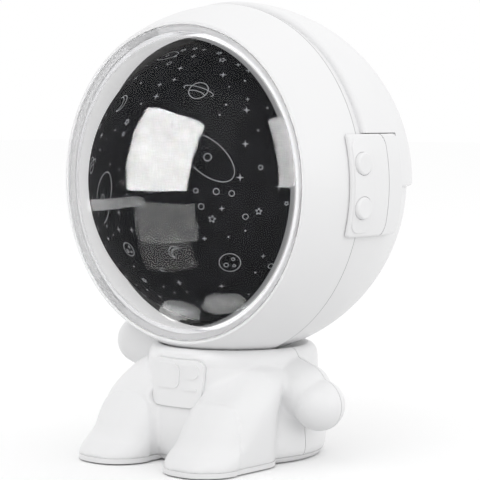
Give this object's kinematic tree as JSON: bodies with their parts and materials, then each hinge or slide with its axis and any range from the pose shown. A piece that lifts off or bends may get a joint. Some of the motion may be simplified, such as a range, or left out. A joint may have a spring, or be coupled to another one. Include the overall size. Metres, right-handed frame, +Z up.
{
  "type": "star projector night light",
  "caption": "Seated toy-astronaut star projector with a clear visor over a turning star dome, ear pods with push buttons and a head that turns on its neck.",
  "frame": {"origin": "on the floor, directly below the head's centre and the neck's axis", "axes": "+Z up, the visor and boots face -Y, the toy's left arm and ear are at +X"},
  "size_m": [0.1164, 0.1103, 0.144],
  "materials": {
    "white_shell": "satin moulded ABS",
    "white_body": "satin moulded ABS",
    "white_panel": "satin moulded ABS",
    "white_cover": "satin moulded ABS",
    "white_button": "smooth moulded ABS",
    "clear_visor": "clear glossy moulded plastic",
    "star_film": "black star film with grey stars and planets",
    "black_carrier": "moulded black plastic",
    "dark_frame": "moulded dark grey plastic",
    "neck_plastic": "moulded white plastic",
    "bush_plastic": "low-friction plastic",
    "pinion_plastic": "natural acetal",
    "switch_body": "black moulded plastic",
    "plunger": "tan moulded plastic",
    "circuit_board": "green solder mask",
    "lamp_board": "white solder mask on aluminium",
    "emitter": "yellow phosphor",
    "clear_lens": "clear moulded lens",
    "sink_aluminium": "cast and finned",
    "motor_can": "plated steel can",
    "shaft_steel": "ground steel",
    "clip_steel": "spring steel",
    "retainer_steel": "stamped steel",
    "screw_steel": "zinc-plated steel",
    "socket_steel": "stamped steel shell",
    "foot_rubber": "moulded rubber",
    "battery_wrap": "blue shrink wrap over a rigid cell",
    "chip_black": "moulded epoxy",
    "inductor_ferrite": "ferrite block",
    "capacitor_can": "sleeved can",
    "ballast_iron": "painted cast bar"
  },
  "bodies": {
    "body": {"neck_bush": "bush_plastic", "bush_screws": "screw_steel", "body_front": "white_body", "body_rear": "white_body", "body_screws": "screw_steel", "chest_panel": "white_panel", "bottom_cover": "white_cover", "cover_screws": "screw_steel", "rubber_feet": "foot_rubber", "battery_cell": "battery_wrap", "main_board": "circuit_board", "board_screws": "screw_steel", "usb_socket": "socket_steel", "control_chip": "chip_black", "power_inductor": "inductor_ferrite", "capacitor": "capacitor_can", "ballast_left": "ballast_iron", "ballast_right": "ballast_iron"},
    "head": {"front_shell": "white_shell", "rear_shell": "white_shell", "ear_cap_left": "white_shell", "ear_cap_right": "white_shell", "ear_base_left": "white_shell", "ear_base_right": "white_shell", "ear_screws": "screw_steel", "button_board_left": "circuit_board", "button_board_right": "circuit_board", "switch_upper_left": "switch_body", "switch_upper_right": "switch_body", "switch_lower_left": "switch_body", "switch_lower_right": "switch_body", "lamp_post": "dark_frame", "carrier_clip": "clip_steel", "stage_plate": "dark_frame", "stage_screws": "screw_steel", "post_screws": "screw_steel", "motor": "motor_can", "motor_screws": "screw_steel", "heat_sink": "sink_aluminium", "lamp_board": "lamp_board", "lamp_emitter": "emitter", "lamp_lens": "clear_lens", "neck_post": "neck_plastic", "neck_screws": "screw_steel", "neck_retainer": "retainer_steel", "retainer_screws": "screw_steel"},
    "visor": {"visor": "clear_visor"},
    "star_drum": {"star_dome": "star_film", "dome_carrier": "black_carrier"},
    "pinion": {"motor_shaft": "shaft_steel", "pinion": "pinion_plastic"},
    "button_upper_left": {"button_upper_left": "white_button", "plunger_upper_left": "plunger"},
    "button_lower_left": {"button_lower_left": "white_button", "plunger_lower_left": "plunger"},
    "button_upper_right": {"button_upper_right": "white_button", "plunger_upper_right": "plunger"},
    "button_lower_right": {"button_lower_right": "white_button", "plunger_lower_right": "plunger"}
  },
  "joints": [
    {"name": "head_turn", "type": "hinge", "parent": "body", "child": "head", "pos_m": [0, 0, 0.03], "axis": [0, 0, 1], "range_deg": [-60, 60]},
    {"name": "star_drum_turn", "type": "hinge", "parent": "head", "child": "star_drum", "pos_m": [0, 0, 0.087], "axis": [0, -1, 0], "continuous": true},
    {"name": "pinion_turn", "type": "hinge", "parent": "head", "child": "pinion", "pos_m": [0, 0, 0.1158], "axis": [0, -1, 0], "continuous": true},
    {"name": "visor_twist", "type": "hinge", "parent": "head", "child": "visor", "pos_m": [0, 0, 0.087], "axis": [0, -1, 0], "range_deg": [0, 20]},
    {"name": "button_upper_left_press", "type": "slide", "parent": "head", "child": "button_upper_left", "axis": [-1, 0, 0], "range_m": [0, 0.0006], "stiffness_N_per_m": 400},
    {"name": "button_lower_left_press", "type": "slide", "parent": "head", "child": "button_lower_left", "axis": [-1, 0, 0], "range_m": [0, 0.0006], "stiffness_N_per_m": 400},
    {"name": "button_upper_right_press", "type": "slide", "parent": "head", "child": "button_upper_right", "axis": [1, 0, 0], "range_m": [0, 0.0006], "stiffness_N_per_m": 400},
    {"name": "button_lower_right_press", "type": "slide", "parent": "head", "child": "button_lower_right", "axis": [1, 0, 0], "range_m": [0, 0.0006], "stiffness_N_per_m": 400}
  ],
  "couplings": [
    {"joint": "pinion_turn", "follows": "star_drum_turn", "ratio": -5}
  ]
}
